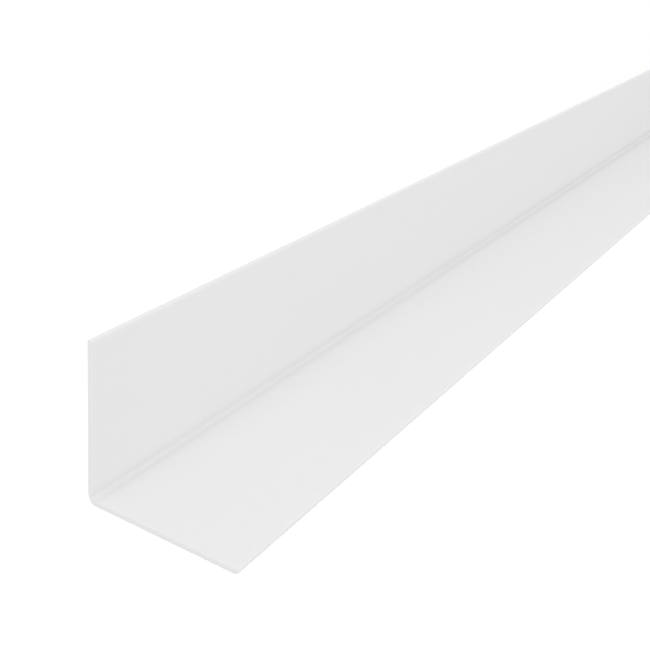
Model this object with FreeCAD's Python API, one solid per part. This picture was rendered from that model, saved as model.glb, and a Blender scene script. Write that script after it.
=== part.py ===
"""Corner guard moulding: an equal-leg angle of rigid white plastic, extruded in one piece.

One leg lies flat on the floor and the other stands upright. The two legs meet in a bend of
constant wall, so its inside and outside radii share one centre. The free edge of each leg, its
toe, is a full round. Both ends are cut square.

Frame, in millimetres: +Y runs along the length, +X from the heel to the toe of the floor leg,
+Z up the upright leg. The origin is on the floor, midway along the length and midway across
the floor leg.
"""

import FreeCAD
import Part

import math
import os

# Driving dimensions, in millimetres
LENGTH = 1219.2
LEG_WIDTH = 50.8
WALL = 1.5875
ROOT_RADIUS = 1.5875

# The nose goes round the outside of the bend at the wall's distance from the root
NOSE_RADIUS = ROOT_RADIUS + WALL
TOE_RADIUS = WALL / 2


def section_point(across, up):
    """A point of the section at the near end, measured from the sharp corner of the heel."""
    return FreeCAD.Vector(across - LEG_WIDTH / 2, -LENGTH / 2, up)


def point_on_circle(across, up, radius, degrees):
    """A point of the section on a circle round (across, up), with its angle taken from +X to +Z."""
    angle = math.radians(degrees)
    return section_point(across + radius * math.cos(angle), up + radius * math.sin(angle))


def arc(across, up, radius, start, end):
    """The edge along a circle round (across, up), from one angle to another, in degrees."""
    stops = (start, (start + end) / 2, end)
    return Part.Arc(*[point_on_circle(across, up, radius, stop) for stop in stops]).toShape()


def line(start, end):
    """The straight edge between two points of the section, each given as (across, up)."""
    return Part.LineSegment(section_point(*start), section_point(*end)).toShape()


def section_wire():
    """The closed outline of the section, taken once round from the floor leg's outer face."""
    bend = NOSE_RADIUS
    toe = LEG_WIDTH - TOE_RADIUS
    return Part.Wire([
        line((bend, 0), (toe, 0)),
        arc(toe, TOE_RADIUS, TOE_RADIUS, -90, 90),
        line((toe, WALL), (bend, WALL)),
        arc(bend, bend, ROOT_RADIUS, 270, 180),
        line((WALL, bend), (WALL, toe)),
        arc(TOE_RADIUS, toe, TOE_RADIUS, 0, 180),
        line((0, toe), (0, bend)),
        arc(bend, bend, NOSE_RADIUS, 180, 270),
    ])


def corner_guard():
    """The section extruded over the whole length, with both ends cut square."""
    return Part.Face(section_wire()).extrude(FreeCAD.Vector(0, LENGTH, 0))


def main():
    os.makedirs("parts", exist_ok=True)
    guard = corner_guard()
    guard.exportStep("parts/corner_guard.step")
    box = guard.BoundBox
    print(f"corner_guard: valid {guard.isValid()}, {guard.Volume:.1f} mm3,"
          f" {box.XLength:.2f} x {box.YLength:.2f} x {box.ZLength:.2f} mm")


main()
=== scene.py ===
"""A corner guard moulding of rigid white plastic, finished and set on a plain pale stage.

The guard is one extruded angle whose wall is equally thick everywhere. Its section is all that
lies within half a wall of one bent line, the spine, which runs along the middle of the floor
leg, round the bend and up the middle of the upright leg. Lengths are in metres, in the frame of
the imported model: +Y along the guard, +X across the floor leg and +Z up the upright leg.
"""

import math

import bmesh
import bpy
import numpy as np
from bpy.props import FloatProperty, FloatVectorProperty, IntProperty, PointerProperty
from mathutils import Matrix, Vector


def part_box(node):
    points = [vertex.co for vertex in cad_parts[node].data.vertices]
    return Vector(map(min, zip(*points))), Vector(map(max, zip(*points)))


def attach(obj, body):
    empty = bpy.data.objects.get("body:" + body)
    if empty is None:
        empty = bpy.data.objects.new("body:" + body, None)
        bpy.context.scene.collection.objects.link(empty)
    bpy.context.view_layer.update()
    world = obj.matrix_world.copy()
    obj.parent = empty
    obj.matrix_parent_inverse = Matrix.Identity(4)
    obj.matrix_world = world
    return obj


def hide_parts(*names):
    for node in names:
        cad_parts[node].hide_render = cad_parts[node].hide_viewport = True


bl_info = {
    "name": "Corner Guard Moulding",
    "version": (1, 0, 0),
    "blender": (4, 5, 0),
    "location": "3D View > Sidebar > Corner Guard",
    "description": "Builds an extruded plastic corner guard with its finish, stage and camera",
    "category": "Add Mesh",
}

NODE = "corner_guard"
BODY = "root"
MICRON = 1e-6
FLOOR_GAP = 100 * MICRON
SENSOR_WIDTH = 36.0
CLIP_START = 0.01
PLASTIC_IOR = 1.53

# Noise features per metre on each axis: long lines along the extruded skin, and the saw's marks
DIE_LINES = {"Across": 900.0, "Along": 1.5, "Upward": 900.0, "Tilt": 0.0, "Cloud Scale": 25.0}
SAW_MARKS = {"Across": 120.0, "Along": 0.0, "Upward": 3200.0, "Cloud Scale": 400.0}
STREAK_NOISE = {"Scale": 1.0, "Detail": 4.0, "Roughness": 0.6}
CLOUD_NOISE = {"Detail": 3.0, "Roughness": 0.55}
MIDDLE_VALUES = {"From Min": 0.3, "From Max": 0.7}

# How far the clouds move the roughness, and the share by which the pattern darkens each surface
ROUGHNESS_SPREAD = 0.05
SKIN_TONE = 0.018
SAWN_TONE = 0.06

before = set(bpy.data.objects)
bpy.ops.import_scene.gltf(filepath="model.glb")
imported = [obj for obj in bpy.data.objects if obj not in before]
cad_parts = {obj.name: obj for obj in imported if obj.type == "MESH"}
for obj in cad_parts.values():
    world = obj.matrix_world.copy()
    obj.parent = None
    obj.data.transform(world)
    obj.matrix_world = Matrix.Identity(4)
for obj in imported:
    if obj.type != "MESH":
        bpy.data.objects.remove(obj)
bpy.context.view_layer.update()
LOW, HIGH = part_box(NODE)
LENGTH = HIGH.y - LOW.y
LEG_WIDTH = HIGH.x - LOW.x


# The guard's sizes and finish

class GuardShape(bpy.types.PropertyGroup):
    """Sizes of the section that the frame's box doesn't give, and how finely it is divided."""

    wall: FloatProperty(
        name="Wall", description="Thickness of both legs and of the bend",
        default=0.0015875, min=0.0005, unit="LENGTH", precision=5)
    root_radius: FloatProperty(
        name="Root Radius", description="Radius inside the bend",
        default=0.0015875, min=0.0002, unit="LENGTH", precision=5)
    arris: FloatProperty(
        name="Arris", description="Radius at which the sawn ends' edges are eased",
        default=0.00012, min=0.00001, unit="LENGTH", precision=5)
    bend_steps: IntProperty(
        name="Bend Steps", description="Strips round each side of the bend", default=20, min=4)
    toe_steps: IntProperty(
        name="Toe Steps", description="Strips round the full round of each toe", default=20, min=4)
    leg_steps: IntProperty(
        name="Leg Steps", description="Strips across each face of a leg", default=8, min=1)
    arris_steps: IntProperty(
        name="Arris Steps", description="Strips round an eased edge", default=5, min=1)
    length_steps: IntProperty(
        name="Length Steps", description="Stretches along the length", default=48, min=1)


class GuardFinish(bpy.types.PropertyGroup):
    """Colour and surface of the white plastic, and the painted shade in the hollow of the bend."""

    plastic: FloatVectorProperty(
        name="Plastic", description="Colour of the rigid white plastic", subtype="COLOR",
        size=3, min=0.0, max=1.0, default=(0.9, 0.9, 0.9))
    sheen_roughness: FloatProperty(
        name="Roughness", description="Roughness of the extruded skin", subtype="FACTOR",
        default=0.46, min=0.0, max=1.0)
    sawn_roughness: FloatProperty(
        name="Sawn Roughness", description="Roughness of the sawn ends", subtype="FACTOR",
        default=0.7, min=0.0, max=1.0)
    line_depth: FloatProperty(
        name="Die Line Depth", description="Depth of the faint lines that the die leaves",
        default=4 * MICRON, min=0.0, unit="LENGTH", precision=6)
    saw_depth: FloatProperty(
        name="Saw Mark Depth", description="Depth of the marks that the saw leaves",
        default=20 * MICRON, min=0.0, unit="LENGTH", precision=6)
    saw_angle: FloatProperty(
        name="Saw Angle", description="Slope of the saw marks across the section", subtype="ANGLE",
        default=math.radians(38.0))
    # Painted shade: the colour in the hollow of the bend is darkened as its shadow would darken it,
    # less so towards the open ends.
    bend_shade_share: FloatProperty(
        name="Hollow Shade", description="How much darker dust makes the hollow of the bend",
        subtype="FACTOR", default=0.08, min=0.0, max=1.0)
    bend_shade_reach: FloatProperty(
        name="Shade Reach", description="How far the dust reaches up each leg from the root",
        default=0.0044, min=0.0, unit="LENGTH", precision=5)
    bend_shade_fade: FloatProperty(
        name="Shade Fade", description="How far from each end the dust has reached its full share",
        default=0.4, min=0.001, unit="LENGTH")
    end_shade_share: FloatProperty(
        name="End Shade", description="Share of the dust and of its reach that is left at the ends",
        subtype="FACTOR", default=0.62, min=0.01, max=1.0)


class StageLook(bpy.types.PropertyGroup):
    """Floor, light and camera."""

    floor_colour: FloatVectorProperty(
        name="Floor", description="Colour of the floor", subtype="COLOR",
        size=3, min=0.0, max=1.0, default=(0.8, 0.8, 0.8))
    near_lift: FloatProperty(
        name="Near Lift", description="White added to the floor where it is seen, beside the guard",
        subtype="FACTOR", default=0.34, min=0.0, max=1.0)
    far_lift: FloatProperty(
        name="Far Lift", description="White added to the floor where it is seen, far from it",
        subtype="FACTOR", default=0.475, min=0.0, max=1.0)
    lift_reach: FloatProperty(
        name="Lift Reach", description="Distance over which the added white grows",
        default=2.5, min=0.1, unit="LENGTH")
    floor_size: FloatProperty(
        name="Floor Size", description="Width of the square floor",
        default=40.0, min=1.0, unit="LENGTH")
    sky_strength: FloatProperty(
        name="Sky", description="Strength of the even white light from all round",
        default=0.745, min=0.0)
    top_lamp_power: FloatProperty(
        name="Top Lamp", description="Power of the soft lamp overhead",
        default=2.95, min=0.0, subtype="POWER", unit="POWER")
    top_lamp_place: FloatVectorProperty(
        name="Top Lamp Place", description="Middle of the soft lamp overhead",
        size=3, subtype="TRANSLATION", unit="LENGTH", default=(0.0, -1.0, 1.5))
    side_lamp_power: FloatProperty(
        name="Side Lamp", description="Power of the soft lamp beside the open side",
        default=8.6, min=0.0, subtype="POWER", unit="POWER")
    side_lamp_place: FloatVectorProperty(
        name="Side Lamp Place", description="Middle of the soft lamp beside the open side",
        size=3, subtype="TRANSLATION", unit="LENGTH", default=(2.4, -0.6, 1.2))
    front_lamp_power: FloatProperty(
        name="Front Lamp", description="Power of the soft lamp before the near end",
        default=5.65, min=0.0, subtype="POWER", unit="POWER")
    front_lamp_place: FloatVectorProperty(
        name="Front Lamp Place", description="Middle of the soft lamp before the near end",
        size=3, subtype="TRANSLATION", unit="LENGTH", default=(0.0, -2.6, 0.3))
    lamp_size: FloatProperty(
        name="Lamp Size", description="Width of each square lamp",
        default=0.8, min=0.01, unit="LENGTH")
    camera_place: FloatVectorProperty(
        name="Camera Place", description="Camera, from the near end's heel on the floor",
        size=3, subtype="TRANSLATION", unit="LENGTH", default=(0.1699, -0.1832, 0.1759))
    camera_heading: FloatProperty(
        name="Camera Heading", description="Turn of the line of sight from +Y towards +X",
        subtype="ANGLE", default=math.radians(-28.84))
    camera_dip: FloatProperty(
        name="Camera Dip", description="How far the line of sight points down",
        subtype="ANGLE", default=math.radians(25.25))
    camera_roll: FloatProperty(
        name="Camera Roll", description="Turn of the picture about the line of sight",
        subtype="ANGLE", default=math.radians(5.78))
    camera_lens: FloatProperty(
        name="Lens", description="Focal length in mm for a sensor of 36 mm",
        default=58.72, min=1.0, subtype="DISTANCE_CAMERA")


# Meshes

def run(start, stop, steps):
    """Points start + (stop - start) * t for even t from 0 and short of 1."""
    share = np.linspace(0.0, 1.0, steps, endpoint=False)[:, None]
    return np.array(start) + (np.array(stop) - np.array(start)) * share


def directions(start, stop, steps):
    """Unit vectors (cos a, sin a) for even angles a, in degrees, from start and short of stop."""
    angle = np.radians(np.linspace(start, stop, steps, endpoint=False))[:, None]
    return np.hstack([np.cos(angle), np.sin(angle)])


def section_outline(shape):
    """The closed outline of the section, as points on the spine and unit directions away from it.

    A point of the outline is its spine point plus half the wall times its direction. Along a
    leg the direction is square to the leg, round a toe it sweeps a half circle about the
    spine's end, and round the bend both lie on one ray from the bend's centre.
    """
    half = shape.wall / 2
    nose = shape.root_radius + shape.wall
    centre = np.array([nose, nose])
    floor_toe = np.array([LEG_WIDTH - half, half])
    floor_bend = np.array([nose, half])
    upright_toe = floor_toe[::-1]
    upright_bend = floor_bend[::-1]
    legs, toes, bends = shape.leg_steps, shape.toe_steps, shape.bend_steps
    inside = directions(270, 180, bends)
    outside = directions(180, 270, bends)
    middle = nose - half
    pieces = [
        (run(floor_bend, floor_toe, legs), np.tile([0.0, -1.0], (legs, 1))),
        (np.tile(floor_toe, (toes, 1)), directions(-90, 90, toes)),
        (run(floor_toe, floor_bend, legs), np.tile([0.0, 1.0], (legs, 1))),
        (centre + middle * inside, -inside),
        (run(upright_bend, upright_toe, legs), np.tile([1.0, 0.0], (legs, 1))),
        (np.tile(upright_toe, (toes, 1)), directions(0, 180, toes)),
        (run(upright_toe, upright_bend, legs), np.tile([-1.0, 0.0], (legs, 1))),
        (centre + middle * outside, outside),
    ]
    spine = np.vstack([points for points, _ in pieces])
    away = np.vstack([unit for _, unit in pieces])
    return spine, away


def stations(shape):
    """Place along the guard, distance from the spine and tilt of the surface, ring by ring.

    The rings run from the spine out across the near end, round its eased edge by a quarter
    circle, along the length, and back in the same way at the far end. The tilt is 0 where the
    surface faces the near end's outside, a quarter turn along the length and a half turn at the
    far end.
    """
    half, ease = shape.wall / 2, shape.arris
    turn = np.linspace(0.0, math.pi / 2, shape.arris_steps + 1)
    place = np.concatenate([[0.0], ease * (1 - np.cos(turn))])
    reach = np.concatenate([[0.0], half - ease + ease * np.sin(turn)])
    tilt = np.concatenate([[0.0], turn])
    inner = np.linspace(ease, LENGTH - ease, shape.length_steps + 1)[1:-1]
    place = np.concatenate([place, inner, LENGTH - place[::-1]])
    reach = np.concatenate([reach, np.full(len(inner), half), reach[::-1]])
    tilt = np.concatenate([tilt, np.full(len(inner), math.pi / 2), math.pi - tilt[::-1]])
    return place, reach, tilt


def guard_grid(shape):
    """Points and normals of the guard's surface, as arrays of rings along by steps round by 3.

    A point is its spine point plus its ring's reach times its direction away from the spine.
    The normal is that direction times the sine of the ring's tilt, less +Y times the cosine.
    """
    spine, away = section_outline(shape)
    place, reach, tilt = stations(shape)
    across = spine[None] + reach[:, None, None] * away[None]
    rings, steps = len(place), len(spine)
    along = np.broadcast_to(place[:, None], (rings, steps))
    points = np.stack([across[..., 0] + LOW.x, along + LOW.y, across[..., 1] + LOW.z], axis=-1)
    side = np.sin(tilt)[:, None, None] * away[None]
    facing = np.broadcast_to(-np.cos(tilt)[:, None], (rings, steps))
    normals = np.stack([side[..., 0], facing, side[..., 1]], axis=-1)
    return points, normals


def grid_faces(rings, steps):
    """Four-cornered faces between neighbouring rings, each ring closed on itself."""
    ring = np.arange(rings - 1)[:, None] * steps
    step = np.arange(steps)[None]
    following = (step + 1) % steps
    corners = [ring + step, ring + steps + step, ring + steps + following, ring + following]
    return np.stack(corners, axis=-1).reshape(-1, 4)


def merge_seams(mesh, distance):
    """Joins the points that lie on each other, which closes the two ends along the spine."""
    work = bmesh.new()
    work.from_mesh(mesh)
    bmesh.ops.remove_doubles(work, verts=work.verts, dist=distance)
    work.to_mesh(mesh)
    work.free()


def guard_mesh(shape):
    """The whole guard as one closed mesh with exact normals, and its sawn ends in slot 1."""
    points, normals = guard_grid(shape)
    rings, steps = points.shape[:2]
    faces = grid_faces(rings, steps)
    mesh = bpy.data.meshes.new("corner_guard_moulding")
    mesh.from_pydata(points.reshape(-1, 3), [], faces)
    ring_of_face = np.repeat(np.arange(rings - 1), steps)
    sawn = (ring_of_face == 0) | (ring_of_face == rings - 2)
    mesh.polygons.foreach_set("material_index", sawn.astype(np.int32))
    mesh.polygons.foreach_set("use_smooth", np.ones(len(faces), bool))
    facing = mesh.attributes.new("facing", "FLOAT_VECTOR", "POINT")
    facing.data.foreach_set("vector", normals.astype(np.float32).ravel())
    merge_seams(mesh, MICRON)
    kept = np.empty(len(mesh.vertices) * 3, np.float32)
    mesh.attributes["facing"].data.foreach_get("vector", kept)
    mesh.attributes.remove(mesh.attributes["facing"])
    mesh.normals_split_custom_set_from_vertices(kept.reshape(-1, 3))
    return mesh


# Node groups and materials

def add_node(tree, kind, place, values=None, **settings):
    """A node of that kind at that place in the tree, with its settings and its sockets' values."""
    node = tree.nodes.new(kind)
    node.location = place
    for name, value in settings.items():
        setattr(node, name, value)
    for socket, value in (values or {}).items():
        node.inputs[socket].default_value = value
    return node


def new_group(name, inputs, outputs):
    """An empty shader group with float inputs {name: default} and float outputs [name]."""
    group = bpy.data.node_groups.new(name, "ShaderNodeTree")
    for socket, default in inputs.items():
        made = group.interface.new_socket(name=socket, in_out="INPUT", socket_type="NodeSocketFloat")
        made.default_value = default
    for socket in outputs:
        group.interface.new_socket(name=socket, in_out="OUTPUT", socket_type="NodeSocketFloat")
    return group


def streaks_group():
    """Noise drawn out along one direction, for die lines and saw marks, with soft clouds beside it.

    The place is turned by Tilt about Y and then scaled by Across on X, Along on Y and Upward on Z,
    so that the noise is far longer than it is wide wherever those differ. Streaks is that noise
    with its middle values spread out, and Clouds is an even noise of the size Cloud Scale.
    """
    group = new_group("drawn_streaks", DIE_LINES, ["Streaks", "Clouds"])
    entry = add_node(group, "NodeGroupInput", (-900, 0))
    leave = add_node(group, "NodeGroupOutput", (500, 0))
    place = add_node(group, "ShaderNodeTexCoord", (-900, 300))
    turned = add_node(group, "ShaderNodeVectorRotate", (-700, 300), rotation_type="Y_AXIS")
    scale = add_node(group, "ShaderNodeCombineXYZ", (-700, 0))
    scaled = add_node(group, "ShaderNodeVectorMath", (-450, 200), operation="MULTIPLY")
    streaks = add_node(group, "ShaderNodeTexNoise", (-200, 200), STREAK_NOISE)
    crisp = add_node(group, "ShaderNodeMapRange", (150, 200), MIDDLE_VALUES)
    clouds = add_node(group, "ShaderNodeTexNoise", (-200, -150), CLOUD_NOISE)
    link = group.links.new
    link(place.outputs["Object"], turned.inputs["Vector"])
    link(entry.outputs["Tilt"], turned.inputs["Angle"])
    link(entry.outputs["Across"], scale.inputs["X"])
    link(entry.outputs["Along"], scale.inputs["Y"])
    link(entry.outputs["Upward"], scale.inputs["Z"])
    link(turned.outputs["Vector"], scaled.inputs[0])
    link(scale.outputs["Vector"], scaled.inputs[1])
    link(scaled.outputs["Vector"], streaks.inputs["Vector"])
    link(place.outputs["Object"], clouds.inputs["Vector"])
    link(entry.outputs["Cloud Scale"], clouds.inputs["Scale"])
    link(streaks.outputs["Fac"], crisp.inputs["Value"])
    link(crisp.outputs["Result"], leave.inputs["Streaks"])
    link(clouds.outputs["Fac"], leave.inputs["Clouds"])
    return group


def hollow_group(bend):
    """A mask of the painted shade in the hollow of the bend, largest round the root and fading to 0
    up both legs.

    With d for the distance to a line along Y, the bend's centre, a leg's inner face leaves the
    root at d = Root Radius, and a place on it lies t = sqrt(d * d - Root Radius squared) further
    on. The share k grows evenly from End Share at each end, where the size of Y is Half Length,
    to 1 at Fade from it. The mask is k times the square of 1 - t / (k * Reach), and 0 beyond
    k * Reach. The inputs and their defaults are those of bend.
    """
    # The mask places painted shade in the root of the bend, weaker and narrower towards the open
    # ends.
    group = new_group("bend_hollow", bend, ["Hollow"])
    entry = add_node(group, "NodeGroupInput", (-1100, 0))
    leave = add_node(group, "NodeGroupOutput", (900, 0))
    place = add_node(group, "ShaderNodeTexCoord", (-1100, 300))
    parts = add_node(group, "ShaderNodeSeparateXYZ", (-900, 300))
    here = add_node(group, "ShaderNodeCombineXYZ", (-700, 300))
    centre = add_node(group, "ShaderNodeCombineXYZ", (-700, 100))
    offset = add_node(group, "ShaderNodeVectorMath", (-500, 200), operation="SUBTRACT")
    squared = add_node(group, "ShaderNodeVectorMath", (-300, 200), operation="DOT_PRODUCT")
    root = add_node(group, "ShaderNodeMath", (-500, -100), operation="MULTIPLY")
    beyond = add_node(group, "ShaderNodeMath", (-100, 100), operation="SUBTRACT", use_clamp=True)
    along = add_node(group, "ShaderNodeMath", (100, 100), operation="SQRT")
    out = add_node(group, "ShaderNodeMath", (-700, -300), operation="ABSOLUTE")
    inset = add_node(group, "ShaderNodeMath", (-500, -300), operation="SUBTRACT")
    kept = add_node(group, "ShaderNodeMapRange", (-300, -300), {"To Max": 1.0})
    reach = add_node(group, "ShaderNodeMath", (100, -200), operation="MULTIPLY")
    left = add_node(group, "ShaderNodeMapRange", (300, 0), {"To Min": 1.0, "To Max": 0.0})
    square = add_node(group, "ShaderNodeMath", (500, 0), operation="MULTIPLY")
    mask = add_node(group, "ShaderNodeMath", (700, 0), operation="MULTIPLY")
    link = group.links.new
    link(place.outputs["Object"], parts.inputs["Vector"])
    link(parts.outputs["X"], here.inputs["X"])
    link(parts.outputs["Z"], here.inputs["Z"])
    link(entry.outputs["Centre X"], centre.inputs["X"])
    link(entry.outputs["Centre Z"], centre.inputs["Z"])
    link(here.outputs["Vector"], offset.inputs[0])
    link(centre.outputs["Vector"], offset.inputs[1])
    link(offset.outputs["Vector"], squared.inputs[0])
    link(offset.outputs["Vector"], squared.inputs[1])
    link(entry.outputs["Root Radius"], root.inputs[0])
    link(entry.outputs["Root Radius"], root.inputs[1])
    link(squared.outputs["Value"], beyond.inputs[0])
    link(root.outputs["Value"], beyond.inputs[1])
    link(beyond.outputs["Value"], along.inputs[0])
    link(along.outputs["Value"], left.inputs["Value"])
    link(parts.outputs["Y"], out.inputs[0])
    link(entry.outputs["Half Length"], inset.inputs[0])
    link(out.outputs["Value"], inset.inputs[1])
    link(inset.outputs["Value"], kept.inputs["Value"])
    link(entry.outputs["Fade"], kept.inputs["From Max"])
    link(entry.outputs["End Share"], kept.inputs["To Min"])
    link(entry.outputs["Reach"], reach.inputs[0])
    link(kept.outputs["Result"], reach.inputs[1])
    link(reach.outputs["Value"], left.inputs["From Max"])
    link(left.outputs["Result"], square.inputs[0])
    link(left.outputs["Result"], square.inputs[1])
    link(square.outputs["Value"], mask.inputs[0])
    link(kept.outputs["Result"], mask.inputs[1])
    link(mask.outputs["Value"], leave.inputs["Hollow"])
    return group


def add_group(tree, group, place, values):
    """A group node of that group in the tree, with its sockets' values."""
    return add_node(tree, "ShaderNodeGroup", place, values, node_tree=group)


def plastic_material(name, colour, streaks, streak_values, hollow, hollow_values, finish):
    """White plastic whose tone, roughness and relief follow the streaks and clouds.

    Of the values in finish, roughness is the mean roughness, from which the clouds move it by
    ROUGHNESS_SPREAD. Streaks and clouds together darken the colour by up to the share tone, and
    the hollow of the bend is darkened by painted shade, by the share that finish gives it. The
    height of the streaks is depth.
    """
    material = bpy.data.materials.new(name)
    material.use_nodes = True
    tree = material.node_tree
    shader = tree.nodes["Principled BSDF"]
    shader.inputs["IOR"].default_value = PLASTIC_IOR
    pattern = add_group(tree, streaks, (-1100, 0), streak_values)
    bend = add_group(tree, hollow, (-900, 450), hollow_values)
    blend = add_node(tree, "ShaderNodeMath", (-850, 150), {1: 0.5}, operation="MULTIPLY_ADD")
    half = add_node(tree, "ShaderNodeMath", (-1050, -250), {1: 0.5}, operation="MULTIPLY")
    tone = finish["tone"]
    mix = add_node(tree, "ShaderNodeMix", (-600, 200), data_type="RGBA")
    mix.inputs["A"].default_value = (*[c * (1 - tone) for c in colour], 1.0)
    mix.inputs["B"].default_value = (*colour, 1.0)
    # Painted shade: where the hollow mask is up, the colour is multiplied down by the share given in
    # finish.
    painted_shade = add_node(tree, "ShaderNodeMix", (-350, 300), data_type="RGBA", blend_type="MULTIPLY")
    painted_shade.inputs["B"].default_value = (*[1 - finish["painted_shade"]] * 3, 1.0)
    rough = add_node(
        tree, "ShaderNodeMapRange", (-400, -50),
        {"To Min": finish["roughness"] - ROUGHNESS_SPREAD,
         "To Max": finish["roughness"] + ROUGHNESS_SPREAD})
    bump = add_node(
        tree, "ShaderNodeBump", (-400, -350), {"Strength": 1.0, "Distance": finish["depth"]})
    link = tree.links.new
    link(pattern.outputs["Clouds"], half.inputs[0])
    link(pattern.outputs["Streaks"], blend.inputs[0])
    link(half.outputs["Value"], blend.inputs[2])
    link(blend.outputs["Value"], mix.inputs["Factor"])
    link(mix.outputs["Result"], painted_shade.inputs["A"])
    link(bend.outputs["Hollow"], painted_shade.inputs["Factor"])
    link(painted_shade.outputs["Result"], shader.inputs["Base Color"])
    link(pattern.outputs["Clouds"], rough.inputs["Value"])
    link(rough.outputs["Result"], shader.inputs["Roughness"])
    link(pattern.outputs["Streaks"], bump.inputs["Height"])
    link(bump.outputs["Normal"], shader.inputs["Normal"])
    return material


def seen_mask(tree, place):
    """1 for the rays that show a surface, straight or by gloss or glass, and 0 for the rest."""
    x, y = place
    ray = add_node(tree, "ShaderNodeLightPath", (x, y))
    sent_on = add_node(tree, "ShaderNodeMath", (x + 200, y - 100), operation="MAXIMUM")
    seen = add_node(tree, "ShaderNodeMath", (x + 400, y), operation="MAXIMUM")
    tree.links.new(ray.outputs["Is Glossy Ray"], sent_on.inputs[0])
    tree.links.new(ray.outputs["Is Transmission Ray"], sent_on.inputs[1])
    tree.links.new(ray.outputs["Is Camera Ray"], seen.inputs[0])
    tree.links.new(sent_on.outputs["Value"], seen.inputs[1])
    return seen.outputs["Value"]


def floor_material(look):
    """The pale floor, lit as it is written and lifted to white where it is seen.

    The lift is near_lift at the middle of the floor and grows to far_lift at lift_reach from it.
    It is added to what the light gives, so the guard's shadow stays.
    """
    material = bpy.data.materials.new("pale_floor")
    material.use_nodes = True
    tree = material.node_tree
    tree.nodes.clear()
    lit = add_node(
        tree, "ShaderNodeBsdfDiffuse", (-400, 150), {"Color": (*look.floor_colour, 1.0)})
    lift = add_node(tree, "ShaderNodeEmission", (-400, -50), {"Color": (1.0, 1.0, 1.0, 1.0)})
    seen = seen_mask(tree, (-1300, 200))
    place = add_node(tree, "ShaderNodeTexCoord", (-1300, -200))
    distance = add_node(tree, "ShaderNodeVectorMath", (-1100, -200), operation="LENGTH")
    growth = add_node(
        tree, "ShaderNodeMapRange", (-850, -200),
        {"From Max": look.lift_reach, "To Min": look.near_lift, "To Max": look.far_lift})
    strength = add_node(tree, "ShaderNodeMath", (-600, -50), operation="MULTIPLY")
    both = add_node(tree, "ShaderNodeAddShader", (-150, 50))
    leave = add_node(tree, "ShaderNodeOutputMaterial", (100, 50))
    link = tree.links.new
    link(place.outputs["Object"], distance.inputs[0])
    link(distance.outputs["Value"], growth.inputs["Value"])
    link(seen, strength.inputs[0])
    link(growth.outputs["Result"], strength.inputs[1])
    link(strength.outputs["Value"], lift.inputs["Strength"])
    link(lit.outputs["BSDF"], both.inputs[0])
    link(lift.outputs["Emission"], both.inputs[1])
    link(both.outputs["Shader"], leave.inputs["Surface"])
    return material


# Operators

class MakeGuard(bpy.types.Operator):
    """Builds the corner guard and gives it its plastic and sawn ends"""

    bl_idname = "corner_guard.make_guard"
    bl_label = "Make Corner Guard"

    def execute(self, context):
        shape, finish = context.scene.guard_shape, context.scene.guard_finish
        guard = bpy.data.objects.new("corner_guard_moulding", guard_mesh(shape))
        context.scene.collection.objects.link(guard)
        nose = shape.root_radius + shape.wall
        # The bend's settings place the painted shade in the hollow; only the extruded skin carries
        # it, the sawn ends get none.
        bend = {
            "Centre X": LOW.x + nose, "Centre Z": LOW.z + nose,
            "Root Radius": shape.root_radius, "Reach": finish.bend_shade_reach,
            "Half Length": LENGTH / 2, "Fade": finish.bend_shade_fade, "End Share": finish.end_shade_share}
        streaks, hollow = streaks_group(), hollow_group(bend)
        skin = plastic_material(
            "extruded_skin", finish.plastic, streaks, DIE_LINES, hollow, bend,
            {"roughness": finish.sheen_roughness, "tone": SKIN_TONE,
             "painted_shade": finish.bend_shade_share, "depth": finish.line_depth})
        saw_marks = {**SAW_MARKS, "Tilt": finish.saw_angle}
        sawn = plastic_material(
            "sawn_end", finish.plastic, streaks, saw_marks, hollow, bend,
            {"roughness": finish.sawn_roughness, "tone": SAWN_TONE,
             "painted_shade": 0.0, "depth": finish.saw_depth})
        guard.data.materials.append(skin)
        guard.data.materials.append(sawn)
        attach(guard, BODY)
        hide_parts(NODE)
        return {"FINISHED"}


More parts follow.
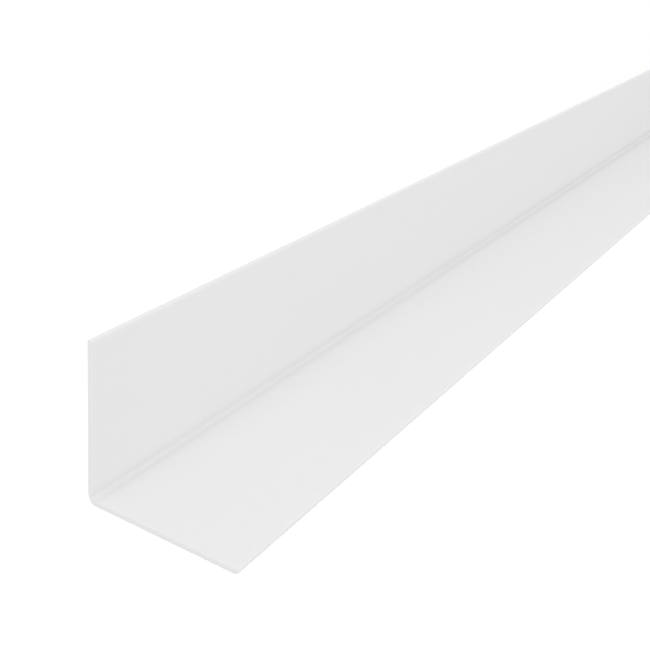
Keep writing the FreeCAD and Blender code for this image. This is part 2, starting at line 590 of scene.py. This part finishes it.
class MakeStage(bpy.types.Operator):
    """Lays the floor, sets the sky and the lamps and places the camera"""

    bl_idname = "corner_guard.make_stage"
    bl_label = "Make Stage"

    def execute(self, context):
        look = context.scene.guard_stage
        self.lay_floor(context, look)
        self.light_sky(context, look)
        for lamp in ("top_lamp", "side_lamp", "front_lamp"):
            place, power = getattr(look, lamp + "_place"), getattr(look, lamp + "_power")
            self.hang_lamp(context, lamp, Vector(place), power, look.lamp_size)
        self.place_camera(context, look)
        context.scene.view_settings.view_transform = "Standard"
        return {"FINISHED"}

    def lay_floor(self, context, look):
        """A square floor just under the guard."""
        half = look.floor_size / 2
        corners = np.array([[-1, -1], [1, -1], [1, 1], [-1, 1]]) * half
        level = np.full((4, 1), LOW.z - FLOOR_GAP)
        mesh = bpy.data.meshes.new("floor")
        mesh.from_pydata(np.hstack([corners, level]), [], [(0, 1, 2, 3)])
        mesh.materials.append(floor_material(look))
        floor = bpy.data.objects.new("floor", mesh)
        context.scene.collection.objects.link(floor)

    def light_sky(self, context, look):
        """Even white light from all round, which is plain white where it is seen."""
        world = bpy.data.worlds.new("even_sky")
        world.use_nodes = True
        tree = world.node_tree
        sky = tree.nodes["Background"]
        sky.inputs["Color"].default_value = (1.0, 1.0, 1.0, 1.0)
        strength = add_node(
            tree, "ShaderNodeMapRange", (-350, 0), {"To Min": look.sky_strength, "To Max": 1.0})
        tree.links.new(seen_mask(tree, (-900, 0)), strength.inputs["Value"])
        tree.links.new(strength.outputs["Result"], sky.inputs["Strength"])
        context.scene.world = world

    def hang_lamp(self, context, name, place, power, size):
        """A square soft lamp towards the guard's near end, without its own picture or highlight."""
        data = bpy.data.lights.new(name, "AREA")
        data.shape = "SQUARE"
        data.size = size
        data.energy = power
        lamp = bpy.data.objects.new(name, data)
        aim = Vector((0.0, LOW.y, 0.0)) - place
        turn = aim.to_track_quat("-Z", "Y").to_matrix().to_4x4()
        lamp.matrix_world = Matrix.Translation(place) @ turn
        lamp.visible_camera = False
        lamp.visible_glossy = False
        context.scene.collection.objects.link(lamp)

    def place_camera(self, context, look):
        """A camera that looks down along the guard from beside its near end."""
        heading, dip, roll = look.camera_heading, look.camera_dip, look.camera_roll
        data = bpy.data.cameras.new("camera")
        data.lens = look.camera_lens
        data.sensor_width = SENSOR_WIDTH
        data.clip_start = CLIP_START
        camera = bpy.data.objects.new("camera", data)
        place = Vector((LOW.x, LOW.y, LOW.z)) + Vector(look.camera_place)
        turn = (
            Matrix.Rotation(-heading, 4, "Z")
            @ Matrix.Rotation(math.pi / 2 - dip, 4, "X")
            @ Matrix.Rotation(roll, 4, "Z"))
        camera.matrix_world = Matrix.Translation(place) @ turn
        context.scene.collection.objects.link(camera)
        context.scene.camera = camera


class GuardPanel(bpy.types.Panel):
    """Lists the steps that build the corner guard and its stage"""

    bl_idname = "VIEW3D_PT_corner_guard"
    bl_label = "Corner Guard"
    bl_space_type = "VIEW_3D"
    bl_region_type = "UI"
    bl_category = "Corner Guard"

    def draw(self, context):
        steps = (("guard_shape", None), ("guard_finish", MakeGuard), ("guard_stage", MakeStage))
        for settings, operator in steps:
            group = getattr(context.scene, settings)
            box = self.layout.box()
            for name in group.__annotations__:
                box.prop(group, name)
            if operator:
                box.operator(operator.bl_idname)


CLASSES = (GuardShape, GuardFinish, StageLook, MakeGuard, MakeStage, GuardPanel)
SETTINGS = {"guard_shape": GuardShape, "guard_finish": GuardFinish, "guard_stage": StageLook}


def register():
    """Registers the classes and hangs the settings on the scene."""
    for made in CLASSES:
        bpy.utils.register_class(made)
    for name, group in SETTINGS.items():
        setattr(bpy.types.Scene, name, PointerProperty(type=group))


def unregister():
    """Takes the settings off the scene and the classes out of Blender."""
    for name in SETTINGS:
        delattr(bpy.types.Scene, name)
    for made in reversed(CLASSES):
        bpy.utils.unregister_class(made)


def main():
    """Builds everything in order."""
    register()
    bpy.ops.corner_guard.make_guard()
    bpy.ops.corner_guard.make_stage()


if __name__ == "__main__":
    main()
